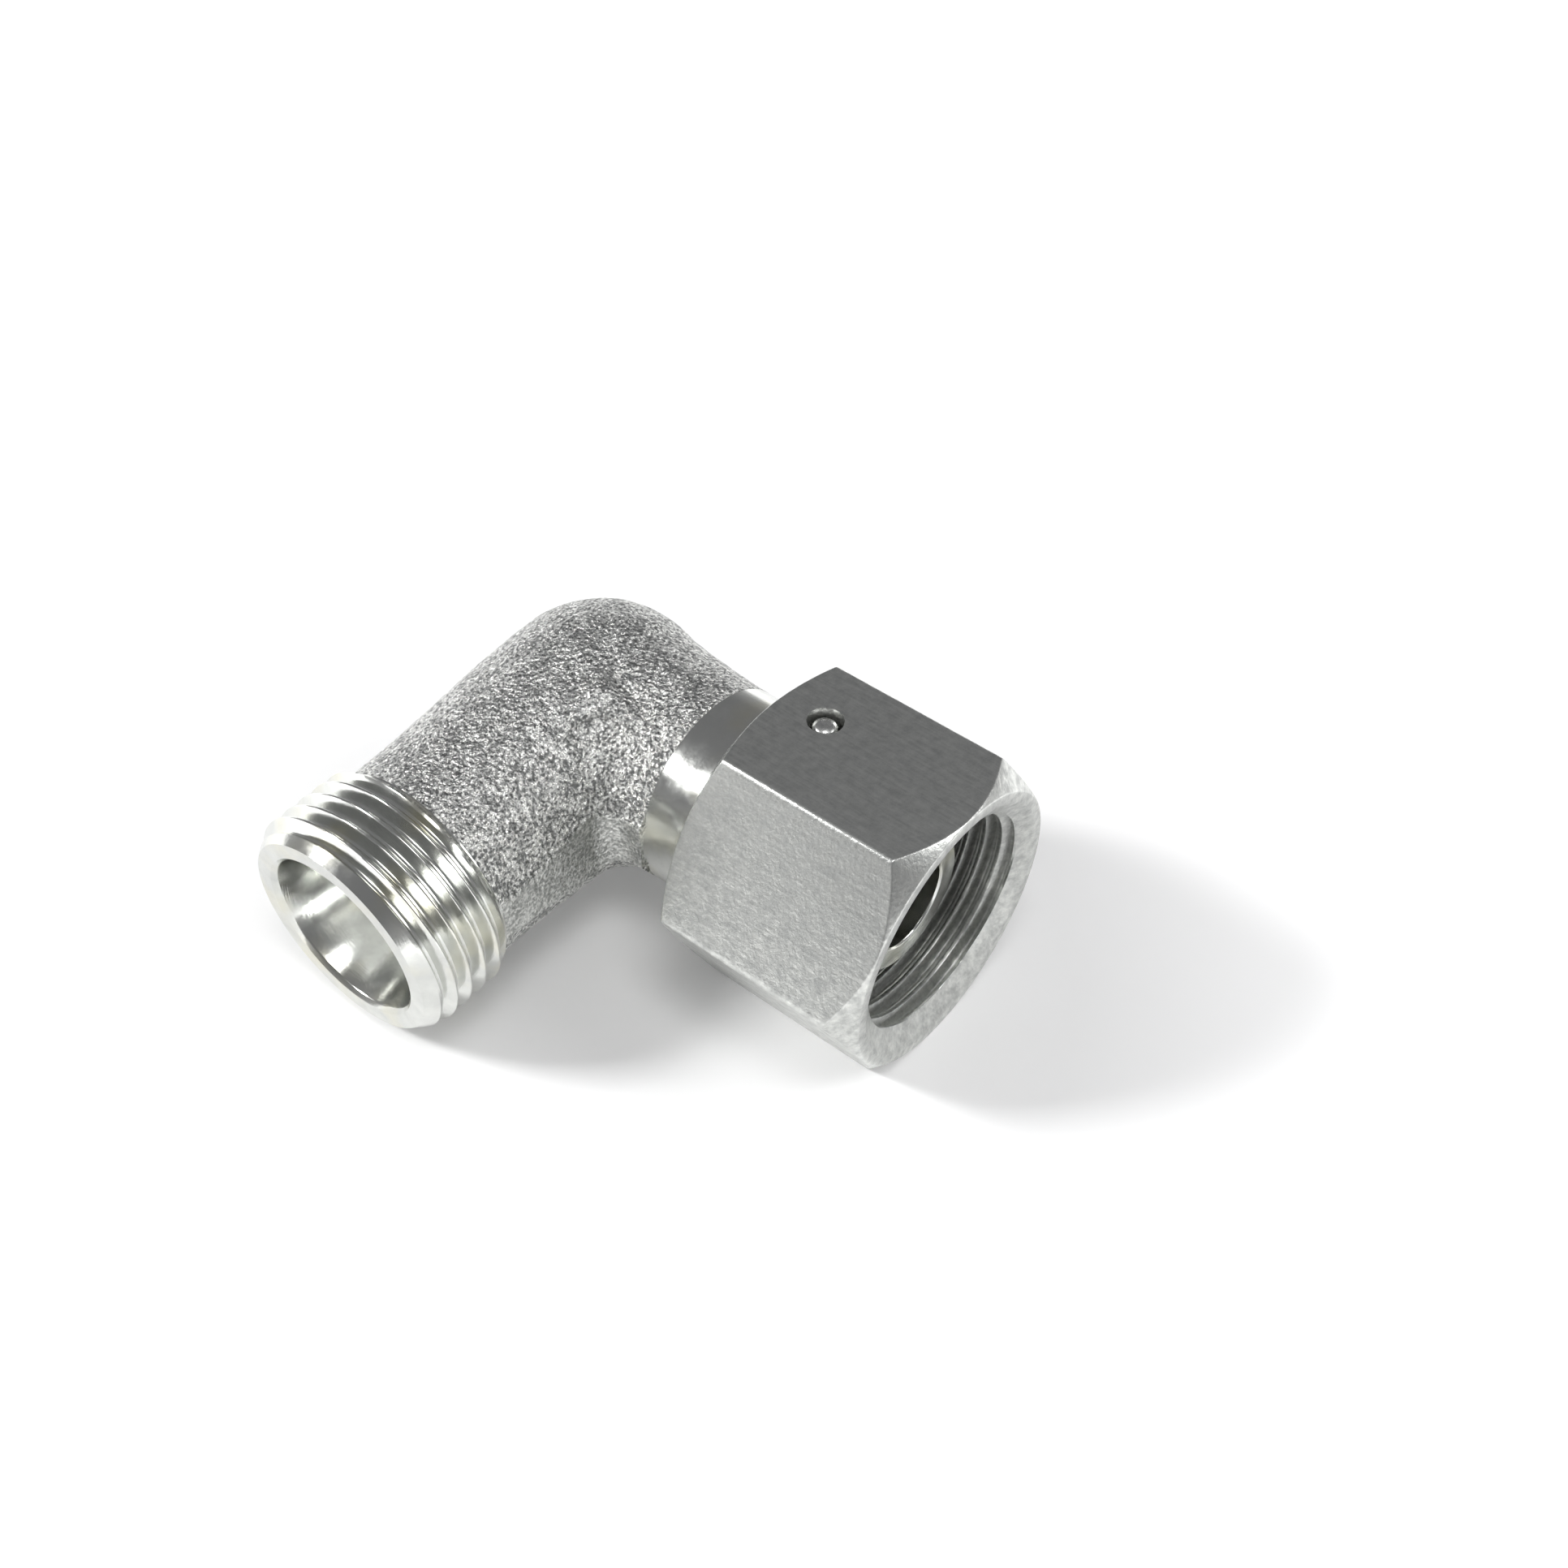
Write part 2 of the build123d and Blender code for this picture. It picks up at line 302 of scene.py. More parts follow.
def lattice_noise(points, size, seed):
    """Smooth random height from -1 to 1: values at the corners of cubes, blended by smooth steps."""
    scaled = points / size
    cell = np.floor(scaled).astype(np.int64)
    inside = scaled - cell
    inside = inside * inside * (3 - 2 * inside)
    total = np.zeros(points.shape[:-1])
    for corner in product((0, 1), repeat=3):
        key = (cell + corner) @ HASH_STEPS + seed * HASH_SEED
        key = (key ^ (key >> 13)) * HASH_MIX
        key = (key ^ (key >> 16)) & HASH_TOP
        weight = np.prod(np.where(corner, inside, 1 - inside), axis=-1)
        total += weight * key / HASH_TOP
    return 2 * total - 1


def grid_faces(rows, columns):
    """Quads between each row and the next, and each column and the next."""
    index = np.arange(rows * columns).reshape(rows, columns)
    quads = together(index[:-1, :-1], index[:-1, 1:], index[1:, 1:], index[1:, :-1])
    return quads.reshape(-1, 4)


def rounded_chain(corners, reaches, steps=4, side_share=0.48):
    """Rows through a chain of corners. Each corner is eased by the parabola that leaves one side and
    joins the other at its reach, which is held under half of the shorter side."""
    rows = []
    for k, reach in enumerate(reaches):
        corner = corners[k]
        if reach == 0:
            rows.append(corner)
            continue
        ends = []
        for neighbour in (corners[k - 1], corners[k + 1]):
            side = neighbour - corner
            long = np.linalg.norm(side, axis=-1, keepdims=True)
            ends.append(corner + side * np.minimum(reach / long, side_share))
        for t in np.linspace(0, 1, steps + 1):
            rows.append((1 - t) ** 2 * ends[0] + 2 * t * (1 - t) * corner + t * t * ends[1])
    return np.stack(rows)


def across_columns(chain, angles):
    """The same chain of (station, radius) rows at every angle."""
    return np.repeat(np.asarray(chain, float)[:, None, :], len(angles), axis=1)


def about_male_axis(section, angles):
    """(station, radius) rows turned about the male arm, from the nut arm's side upwards."""
    station, radius = section[..., 0], section[..., 1]
    return together(station, radius * np.cos(angles), radius * np.sin(angles))


def about_nut_axis(section, angles):
    """(station, radius) rows turned about the nut arm, from the male arm's side upwards."""
    station, radius = section[..., 0], section[..., 1]
    return together(radius * np.cos(angles), station, radius * np.sin(angles))


def thread_rows(rear, front, pitch, crest_at, offsets, depths, angles, hand):
    """Rows that run along a thread, as (station, depth below the crest).

    station = crest + whole pitches + offset + hand x pitch x angle / full turn, held between the
    ends. The depth follows from how far the station is from the nearest crest at that angle.
    """
    both = np.concatenate([-offsets[:0:-1][1:], offsets])
    first = math.floor((rear - crest_at) / pitch) - 2
    last = math.ceil((front - crest_at) / pitch) + 2
    starts = crest_at + pitch * np.arange(first, last + 1)
    rows = (starts[:, None] + both[None, :]).ravel()
    advance = hand * pitch * angles[None, :] / TAU
    station = np.clip(rows[:, None] + advance, rear, front)
    phase = (station - crest_at - advance + pitch / 2) % pitch - pitch / 2
    return station, np.interp(np.abs(phase), offsets, depths)


# A thread's section: distances from a crest's middle, and the depths there
MALE_OFFSETS = np.array([0, 0.055, 0.09, 0.125, 0.33, 0.53, 0.62, 0.75])
MALE_DEPTHS = np.array([0, 0.004, 0.022, 0.08, 0.43, 0.775, 0.89, 0.92])
NUT_OFFSETS = np.array([0, 0.13, 0.18, 0.22, 0.42, 0.62, 0.67, 0.75])
NUT_DEPTHS = np.array([0, 0.002, 0.02, 0.075, 0.42, 0.745, 0.795, 0.81])


def new_object(name, data):
    """A new object in the scene, which shows this data."""
    made = bpy.data.objects.new(name, data)
    bpy.context.scene.collection.objects.link(made)
    return made


def make_piece(name, points, finish, body, hidden, faces=None, crease=32):
    """Puts the points into a mesh in metres, closes its seams, and attaches it to its body in place of
    the imported parts, which it hides. Points on a grid need no faces of their own."""
    if faces is None:
        faces = grid_faces(*points.shape[:2])
    mesh = bpy.data.meshes.new(name)
    mesh.from_pydata(points.reshape(-1, 3) * MM, [], faces)
    work = bmesh.new()
    work.from_mesh(mesh)
    bmesh.ops.remove_doubles(work, verts=work.verts, dist=SEAM_GAP)
    bmesh.ops.dissolve_degenerate(work, edges=work.edges, dist=SLIVER)
    bmesh.ops.recalc_face_normals(work, faces=work.faces)
    loose = sum(len(edge.link_faces) != 2 for edge in work.edges)
    work.to_mesh(mesh)
    work.free()
    if loose:
        print(f"{name}: {loose} edges are open or shared")
    mesh.shade_smooth()
    mesh.set_sharp_from_angle(angle=math.radians(crease))
    mesh.materials.append(finish)
    piece = new_object(name, mesh)
    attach(piece, body)
    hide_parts(*hidden)
    return piece


def elbow_world(points):
    """Points of the body, in world millimetres."""
    return CENTRE + points @ ELBOW_AXES


# How far outside and inside the hollow its lip starts and ends
LIP_OUTSIDE = 0.05
LIP_INSIDE = 0.3
TINY = 1e-6


def forging_distance(points, s):
    """How far points lie outside the forging.

    Each arm is a tube with a rounded end, whose radius eases from the corner to its neck. The two
    are joined by a round blend that grows from nothing at the crown. It is wide above the hollow
    between the arms and narrow inside it, so the hollow has an arched lip. The land is trimmed off
    by a wall with a rounded corner.
    """
    a, b, n = points[..., 0], points[..., 1], points[..., 2]
    male_r = s.knuckle_r + (s.male_neck_r - s.knuckle_r) * smooth_step(a, 0, s.male_neck_at)
    nut_r = s.nut_root_r + (s.nut_neck_r - s.nut_root_r) * smooth_step(b, 0, s.nut_neck_at)
    male = np.sqrt(np.minimum(a, 0) ** 2 + b**2 + n**2) - male_r
    nut = np.sqrt(np.minimum(b, 0) ** 2 + a**2 + n**2) - nut_r
    web = s.web_r * smooth_step(np.minimum(a, b), s.web_start, s.web_full)
    height = [s.trim_r, s.valley_top]
    middle = np.interp(np.abs(n), height, [s.trim_half + s.trim_r, s.valley_at])
    hollow_r = np.interp(np.abs(n), height, [s.trim_r, s.valley_r])
    hollow = hollow_r - np.hypot(np.maximum(middle - a, 0), np.maximum(middle - b, 0))
    blend = web + (s.root_r - web) * smooth_step(hollow, -LIP_OUTSIDE, LIP_INSIDE) + TINY
    outside = np.maximum(blend, np.minimum(male, nut)) - np.hypot(
        np.maximum(blend - male, 0), np.maximum(blend - nut, 0)
    )
    wall = s.trim_half + s.trim_r
    trimmed = s.trim_r - np.hypot(np.maximum(wall - a, 0), np.maximum(wall - b, 0))
    return np.maximum(outside, trimmed)


HALVINGS = 26


def bore_distance(points, s):
    """How far points lie outside the two drilled bores, each a tube that ends past the crossing."""
    a, b, n = points[..., 0], points[..., 1], points[..., 2]
    male = np.maximum(np.hypot(b, n) - s.male_bore_r, -s.bore_overrun - a)
    nut = np.maximum(np.hypot(a, n) - s.nut_bore_r, -s.bore_overrun - b)
    return np.minimum(male, nut)


def reach_along_rays(distance, starts, rays, farthest, steps):
    """Where each ray first leaves a solid: steps to the first point outside, then halves the gap."""
    shape = starts.shape[:-1]
    low = np.zeros(shape)
    high = np.full(shape, float(farthest))
    found = np.zeros(shape, bool)
    stops = np.linspace(0, farthest, steps)
    for near, far in zip(stops[:-1], stops[1:]):
        out = distance(starts + rays * far) > 0
        new = out & ~found
        low[new], high[new] = near, far
        found |= out
    for _ in range(HALVINGS):
        middle = (low + high) / 2
        out = distance(starts + rays * middle[..., None]) > 0
        high = np.where(out, middle, high)
        low = np.where(out, low, middle)
    return (low + high) / 2


def centre_line(along, s):
    """Points of the body's bent centre line and its outward directions.

    The line is straight from 0 at the male end to 1, a quarter circle about the pivot from 1 to 2,
    and straight again to 3 at the nut end.
    """
    straight_male = np.clip(1 - along, 0, 1) * (s.male_end - s.pivot)
    straight_nut = np.clip(along - 2, 0, 1) * (s.nut_end - s.pivot)
    turn = np.clip(along - 1, 0, 1) * math.pi / 2
    flat = np.zeros_like(along)
    outward = together(-np.sin(turn), -np.cos(turn), flat)
    point = s.pivot * (np.array([1.0, 1.0, 0.0]) + outward)
    return point + together(straight_male, straight_nut, flat), outward


MALE_ARM_ROWS = 60
NUT_ARM_ROWS = 2
COLUMN_SPREAD = 0.35
SKIN_FARTHEST = 15.0
BORE_FARTHEST = 9.0
BORE_STEPS = 46
SMOOTH_EDGE = 0.2
ROUGH_EDGE = 1.0
SWELL_SIZE = 3.1
DENT_SIZE = 1.3
GRAIN_SIZE = 0.42
LAND_CALM = 0.9
UP = np.array([0, 0, 1.0])


def forging_rays(along, s):
    """Starts and directions of rays that leave the centre line square to it. The columns lie closer
    together on the inner side of the bend."""
    u = np.linspace(0, 1, s.columns + 1)
    angles = TAU * u + COLUMN_SPREAD * np.sin(TAU * u)
    start, outward = centre_line(along, s)
    rays = np.cos(angles)[None, :, None] * outward[:, None, :]
    rays = rays + np.sin(angles)[None, :, None] * UP
    return np.repeat(start[:, None, :], len(angles), axis=1), rays


def skin_roughness(skin, s):
    """Height of the forged skin: noise of three sizes, calm at both ends and on the land."""
    calm = smooth_step(skin[..., 0], s.male_end - ROUGH_EDGE, s.male_end - SMOOTH_EDGE)
    nut_calm = smooth_step(skin[..., 1], s.nut_end - ROUGH_EDGE, s.nut_end - SMOOTH_EDGE)
    calm = np.maximum(calm, nut_calm)
    rough = s.swell * lattice_noise(skin, SWELL_SIZE, 3)
    rough = rough + 0.5 * s.swell * lattice_noise(skin, DENT_SIZE, 5)
    rough = rough + s.grain * lattice_noise(skin, GRAIN_SIZE, 7)
    return rough * (1 - calm) * (1 - LAND_CALM * trimmed_share(skin, s))


def forging_points(s):
    """Outer skin and bore of the forging, as one grid that closes on itself both ways.

    Each point is where its ray leaves the solid, moved along the ray by the skin's roughness.
    """
    male_arm = np.linspace(0, 1, MALE_ARM_ROWS, endpoint=False)
    bend = 1 + np.linspace(0, 1, s.skin_rows - MALE_ARM_ROWS - NUT_ARM_ROWS, endpoint=False)
    along = np.concatenate([male_arm, bend, np.linspace(2, 3, NUT_ARM_ROWS)])
    starts, rays = forging_rays(along, s)
    reach = reach_along_rays(lambda p: forging_distance(p, s), starts, rays, SKIN_FARTHEST, 2)
    reach = reach + skin_roughness(starts + rays * reach[..., None], s)
    skin = starts + rays * reach[..., None]
    starts, rays = forging_rays(np.linspace(0, 3, s.bore_rows)[::-1], s)
    reach = reach_along_rays(lambda p: bore_distance(p, s), starts, rays, BORE_FARTHEST, BORE_STEPS)
    return np.concatenate([skin, starts + rays * reach[..., None], skin[:1]])


INNER_SIDE = 5
LAND_NEAR = 0.01
LAND_FAR = 0.06


def trimmed_share(points, s):
    """1 on the trimmed land and 0 elsewhere, from how near a point is to the trimming wall."""
    a, b = points[..., 0], points[..., 1]
    wall = s.trim_half + s.trim_r
    gap = s.trim_r - np.hypot(np.maximum(wall - a, 0), np.maximum(wall - b, 0))
    inner = np.minimum(a, b) > INNER_SIDE
    return np.where(inner, 1 - smooth_step(np.abs(gap), LAND_NEAR, LAND_FAR), 0)


def mark_points(piece, name, values):
    """Keeps one number for each point of a mesh, for its material to read."""
    layer = piece.data.attributes.new(name, "FLOAT", "POINT")
    layer.data.foreach_set("value", values.astype(np.float32))


def body_points(piece):
    """A piece's points in the body's millimetres."""
    flat = np.empty(len(piece.data.vertices) * 3, np.float32)
    piece.data.vertices.foreach_get("co", flat)
    return (flat.reshape(-1, 3) / MM - CENTRE) @ ELBOW_AXES.T


CONE_HALF_ANGLE = math.radians(12)
RUNOUT_SLOPE = 1.1
WORN_DEPTH = 0.1
WEAR_HEIGHT, WEAR_SIZE = 0.014, 0.9
NICK_HEIGHT, NICK_SIZE = 0.008, 0.35


def male_end_points(s):
    """The threaded end: helical rows outside, then the face, cone, socket and bore, closed behind.

    The outside is the lower of the thread, the lead-in's cone and the runout's cone.
    """
    angles = np.linspace(0, TAU, s.columns + 1)
    station, depth = thread_rows(
        s.rear, s.face, s.pitch, s.crest_at, MALE_OFFSETS, MALE_DEPTHS, angles, 1
    )
    lead = s.rim_r + (s.face - station) * (s.major_r - s.rim_r) / (s.face - s.lead_start)
    runout = s.root_r + np.maximum(station - s.runout, 0) * RUNOUT_SLOPE
    crests = about_male_axis(together(station, np.full_like(station, s.major_r)), angles)
    nicks = WEAR_HEIGHT * lattice_noise(crests, WEAR_SIZE, 11)
    nicks = nicks + NICK_HEIGHT * lattice_noise(crests, NICK_SIZE, 12)
    radius = np.minimum(s.major_r - depth + nicks * (depth < WORN_DEPTH), lead)
    outside = together(station, np.minimum(radius, runout))
    cone_end = s.face - s.mouth_break - (s.mouth_r - s.socket_r) / math.tan(CONE_HALF_ANGLE)
    rim_step, back_step = 0.04, 0.5
    inside_corners = [
        (s.face, s.rim_r - rim_step),
        (s.face, s.mouth_r + s.mouth_break),
        (s.face - s.mouth_break, s.mouth_r),
        (cone_end, s.socket_r),
        (s.face - s.socket_depth, s.socket_r),
        (s.face - s.socket_depth, s.bore_r),
        (s.rear, s.bore_r),
        (s.rear, s.root_r - back_step),
    ]
    inside = rounded_chain(np.array(inside_corners), (0, 0.06, 0.1, 0.3, 0.12, 0.08, 0, 0))
    section = np.concatenate([outside, across_columns(inside, angles), outside[:1]])
    return about_male_axis(section, angles)


GROOVE_TURN = 80
GROOVE_ROWS = 13


def spigot_points(s):
    """The turned spigot: shank, wire groove, nose and O-ring groove outside, the bore inside."""
    angles = np.linspace(0, TAU, s.columns + 1)
    slope = (s.nose_base_r - s.nose_tip_r) / (s.nose_tip - s.shank_end)
    groove = np.linspace(-GROOVE_TURN, GROOVE_TURN, GROOVE_ROWS) * math.pi / 180
    groove_half = 1.2
    rear_step, rear_break, shank_break, tip_break, bore_break = 0.06, 0.15, 0.4, 0.3, 0.15
    groove_station = s.groove_at + s.groove_r * np.sin(groove)
    groove_rows = together(groove_station, s.ring_r - s.groove_r * np.cos(groove))

    def nose(station):
        """Radius of the sealing cone at a station."""
        return s.nose_base_r - (station - s.shank_end) * slope

    seal_rear, seal_front = s.seal_at - s.seal_half, s.seal_at + s.seal_half
    rear_corners = [
        (s.start, s.shank_r - rear_step),
        (s.start + rear_break, s.shank_r),
        (s.groove_at - groove_half, s.shank_r),
    ]
    rear = rounded_chain(np.array(rear_corners), (0, 0.05, 0))
    front_corners = [
        (s.groove_at + groove_half, s.shank_r),
        (s.shank_end - shank_break, s.shank_r),
        (s.shank_end, s.shank_r - shank_break),
        (s.shank_end, s.nose_base_r),
        (seal_rear, nose(seal_rear)),
        (seal_rear, s.seal_floor_r),
        (seal_front, s.seal_floor_r),
        (seal_front, nose(seal_front)),
        (s.nose_tip - tip_break, nose(s.nose_tip - tip_break)),
        (s.nose_tip, s.nose_tip_r - tip_break),
        (s.nose_tip, s.bore_r + bore_break),
        (s.nose_tip - bore_break, s.bore_r),
        (s.start, s.bore_r),
        (s.start, s.shank_r - rear_step),
    ]
    eases = (0, 0.08, 0.08, 0.05, 0.05, 0.1, 0.1, 0.05, 0.08, 0.08, 0.04, 0.04, 0, 0)
    front = rounded_chain(np.array(front_corners), eases)
    section = across_columns(np.concatenate([rear, groove_rows, front]), angles)
    return about_nut_axis(section, angles)


# Columns near each of the nut's edges, in degrees from the edge
NEAR_EDGE = np.array([0, 0.15, 0.3, 0.5, 0.75, 1.05, 1.5, 2.2, 3.2])
BETWEEN_EDGES = np.linspace(4.4, 55.6, 41)
REAR_CHAMFER = math.radians(30)
SINK_ANGLE = math.radians(60)
WINDOW_HALF = 2.1
WINDOW_ROWS = 9
WINDOW_SIDES = (math.radians(84), math.radians(113.5))
WIRE_RING_R = 8.74
WIRE_GROOVE_R = 1.1


def nut_angles():
    """Columns around the nut: close together at the six edges, and evenly spread between them."""
    side = np.concatenate([NEAR_EDGE, BETWEEN_EDGES, 60 - NEAR_EDGE[:0:-1]])
    return np.radians(np.append((np.arange(6)[:, None] * 60 + side[None, :]).ravel(), 360))


def nut_flat_radius(angles, s):
    """Distance from the axis to the hexagon's surface. The six flats are joined by a power mean,
    which eases the long edges."""
    normals = np.radians(30 + 60 * np.arange(6))
    facing = np.maximum(np.cos(angles[:, None] - normals[None, :]), 1e-9) / s.half
    return (facing**s.edge_power).sum(axis=1) ** (-1 / s.edge_power)


def nut_bore_radius(station, s):
    """Radius of the smooth bore, with the wire's groove as part of a circle."""
    gap = np.clip(1 - ((station - s.hole_at) / WIRE_GROOVE_R) ** 2, 0, None)
    return np.maximum(s.bore_r, WIRE_RING_R + WIRE_GROOVE_R * np.sqrt(gap))


def nut_points(s):
    """The nut as one closed grid, and where the grid's two windows for the wire's hole are.

    Outside, the flats run between two cones that cut the corners back. Inside are the countersink,
    the thread, the relief and the bore.
    """
    angles = nut_angles()
    flat = nut_flat_radius(angles, s)
    even = np.ones_like(flat)
    front_edge = s.front - (flat - s.front_rim_r)
    rear_edge = s.rear + (flat - s.rear_rim_r) * math.tan(REAR_CHAMFER)
    hole_rows = s.hole_at + np.linspace(-WINDOW_HALF, WINDOW_HALF, WINDOW_ROWS)

    def row(station, radius):
        """One corner of the outline at every column."""
        return together(station * even, radius * even)

    outline = [
        row(s.rear, s.bore_r + s.bore_break),
        row(s.rear, s.rear_rim_r),
        row(rear_edge, flat),
        *[row(station, flat) for station in hole_rows],
        row(front_edge, flat),
        row(s.front, s.front_rim_r),
        row(s.front, s.sink_r),
    ]
    reach = s.edge_reach
    outer = rounded_chain(np.array(outline), (0, 0.1, reach, *([0] * WINDOW_ROWS), reach, 0.1, 0))
    station, depth = thread_rows(
        s.thread_start, s.front, s.pitch, s.crest_at, NUT_OFFSETS, NUT_DEPTHS, angles, -1
    )
    sink = s.sink_r - (s.front - station) * math.tan(SINK_ANGLE)
    thread = together(station, np.maximum(s.root_r - s.depth + depth, sink))[::-1]
    half_groove = np.array([WINDOW_HALF, 1.35, 1.08, 0.7])
    inner_rows = s.hole_at + np.concatenate([half_groove, [0], -half_groove[::-1]])
    inner = [
        row(s.thread_start, s.relief_r),
        row(s.shoulder, s.relief_r),
        row(s.shoulder, s.bore_r),
        *[row(b, nut_bore_radius(b, s)) for b in inner_rows],
        row(s.rear + s.bore_break, s.bore_r),
        row(s.rear, s.bore_r + s.bore_break),
    ]
    section = np.concatenate([outer, thread, np.array(inner)])
    # One row for the bore's edge, and five for each of the two eased corners before the window
    outer_rows = 1 + 5 + 5
    # Three rows for the relief and the shoulder before the window in the bore
    inner_start = len(outer) + len(thread) + 3
    return about_nut_axis(section, angles), angles, outer_rows, inner_start


def pierced_nut(s):
    """The nut's grid with a round hole through one flat.

    A window is left out of the grid on the flat and in the bore. Rings of points run from the one
    window's edge, over the bevelled rim of the hole and down its wall, to the other window's edge.
    """
    points, angles, outer_start, inner_start = nut_points(s)
    rows, columns = points.shape[:2]
    faces = grid_faces(rows, columns)
    first, last = (int(np.searchsorted(angles, side)) for side in WINDOW_SIDES)
    keep = np.ones((rows - 1, columns - 1), bool)
    index = np.arange(rows * columns).reshape(rows, columns)
    edges = []
    for start in (outer_start, inner_start):
        end = start + WINDOW_ROWS - 1
        keep[start:end, first:last] = False
        sides = index[start, first:last], index[start:end, last]
        sides += index[end, last:first:-1], index[end:start:-1, first]
        edge = np.concatenate(sides)
        place = points.reshape(-1, 3)[edge]
        turn = np.arctan2(place[:, 0] - s.hole_x, place[:, 1] - s.hole_at)
        order = np.argsort(turn)
        edges.append((edge[order], turn[order]))
    turn = edges[0][1]
    across, along = np.sin(turn), np.cos(turn)
    burr_at, burr_spread, collar, burr_sink = -1.2, 0.9, 0.5, 0.02
    burr = s.burr * np.exp(-((turn - burr_at) ** 2) / burr_spread)
    rings = []
    for radius, height in (
        (s.hole_r + collar, s.half),
        (s.hole_r + s.hole_break, s.half + 0.4 * burr),
        (s.hole_r + 0.4 * s.hole_break, s.half - burr_sink + burr),
        (s.hole_r, s.half - s.hole_break),
    ):
        x, b = s.hole_x + radius * across, s.hole_at + radius * along
        rings.append(together(x, b, height + 0 * turn))
    x, b = s.hole_x + s.hole_r * across, s.hole_at + s.hole_r * along
    rings.append(together(x, b, np.sqrt(nut_bore_radius(b, s) ** 2 - x**2)))
    base = rows * columns
    number = len(turn)
    loops = [edges[0][0]]
    loops += [base + k * number + np.arange(number) for k in range(len(rings))]
    loops.append(edges[1][0])
    bands = []
    for one, two in zip(loops[:-1], loops[1:]):
        bands.append(together(one, np.roll(one, -1), np.roll(two, -1), two))
    everything = np.concatenate([points.reshape(-1, 3)] + rings)
    return everything, np.concatenate([faces[keep.ravel()]] + bands)


DOME_HEIGHT = 0.42
RING_ROWS = 200
BEND_ROWS = 14
END_ROWS = 5
WIRE_COLUMNS = 48
SEAL_COLUMNS = 160
SECTION_COLUMNS = 32


def wire_path(s):
    """Points and directions of the wire's middle line in the plane across the nut, as (up, across).

    An open ring, then a bend that leaves the ring and turns outwards, then a straight end.
    """
    bend_centre_r = s.ring_r + s.bend_r
    offset = s.hole_x + s.bend_r
    height = math.sqrt(bend_centre_r**2 - offset**2)
    lean = math.atan2(offset, height)
    ring_turn = np.linspace(-lean - s.turn, -lean, RING_ROWS)
    ring = s.ring_r * together(np.cos(ring_turn), np.sin(ring_turn))
    ring_way = together(-np.sin(ring_turn), np.cos(ring_turn))
    bend_turn = np.linspace(math.pi - lean, math.pi / 2, BEND_ROWS)[1:]
    bend = np.array([height, -offset]) + s.bend_r * together(np.cos(bend_turn), np.sin(bend_turn))
    bend_way = together(np.sin(bend_turn), -np.cos(bend_turn))
    rise = np.linspace(height, s.end_at, END_ROWS)[1:]
    straight = together(rise, np.full_like(rise, -s.hole_x))
    straight_way = np.repeat([[1.0, 0.0]], len(rise), axis=0)
    way = np.concatenate([ring_way, bend_way, straight_way])
    return np.concatenate([ring, bend, straight]), way


def wire_points(s):
    """The wire: circles carried along its path, with a domed bent end and a sheared other end."""
    line, way = wire_path(s)
    cap = np.radians(np.array([0, 20, 40, 60, 75, 90]))
    reach = np.concatenate([np.zeros(len(line)), DOME_HEIGHT * np.sin(cap[1:])])
    radius = np.concatenate([np.full(len(line), s.wire_r), s.wire_r * np.cos(cap[1:])])
    line = np.concatenate([line[:1], line, np.repeat(line[-1:], len(cap) - 1, axis=0)])
    way = np.concatenate([way[:1], way, np.repeat(way[-1:], len(cap) - 1, axis=0)])
    radius = np.concatenate([[0], radius])
    reach = np.concatenate([[0], reach])
    around = np.linspace(0, TAU, WIRE_COLUMNS + 1)
    side = together(-way[:, 1], way[:, 0])
    middle = line + way * reach[:, None]
    flat = middle[:, None, :] + (radius[:, None] * np.cos(around))[..., None] * side[:, None, :]
    along = s.ring_at + radius[:, None] * np.sin(around)
    return together(flat[..., 1], along, flat[..., 0])


def ring_points(s):
    """A ring with a round section about the nut arm's axis."""
    angles = np.linspace(0, TAU, SEAL_COLUMNS + 1)
    around = np.linspace(0, TAU, SECTION_COLUMNS + 1)
    station = s.ring_at + s.section_r * np.cos(around)
    section = together(station, s.ring_r + s.section_r * np.sin(around))
    return about_nut_axis(across_columns(section, angles), angles)


# Finishes


class Nodes:
    """Adds nodes to the tree of a material or a world, and joins them."""

    def __init__(self, owner):
        owner.use_nodes = True
        self.tree = owner.node_tree
        self.tree.nodes.clear()

    def add(self, kind, inputs=None, **settings):
        """A new node with its settings, and a value or another socket for each input."""
        node = self.tree.nodes.new("ShaderNode" + kind)
        for key, value in settings.items():
            setattr(node, key, value)
        for key, value in (inputs or {}).items():
            if isinstance(value, bpy.types.NodeSocket):
                self.tree.links.new(value, node.inputs[key])
            else:
                node.inputs[key].default_value = value
        return node

    def curve(self, value, low, high, start=0.0, end=1.0):
        """Maps low to high onto start to end, held at both ends."""
        inputs = dict(enumerate((value, low, high, start, end)))
        return self.add("MapRange", inputs, clamp=True).outputs[0]

    def sum(self, one, two, operation="ADD"):
        """Adds two values, or does another sum with them."""
        return self.add("Math", {0: one, 1: two}, operation=operation).outputs[0]

    def blend(self, amount, one, two):
        """A colour between two colours."""
        one, two = (c if isinstance(c, bpy.types.NodeSocket) else (*c, 1.0) for c in (one, two))
        return self.add("Mix", {0: amount, 6: one, 7: two}, data_type="RGBA").outputs[2]


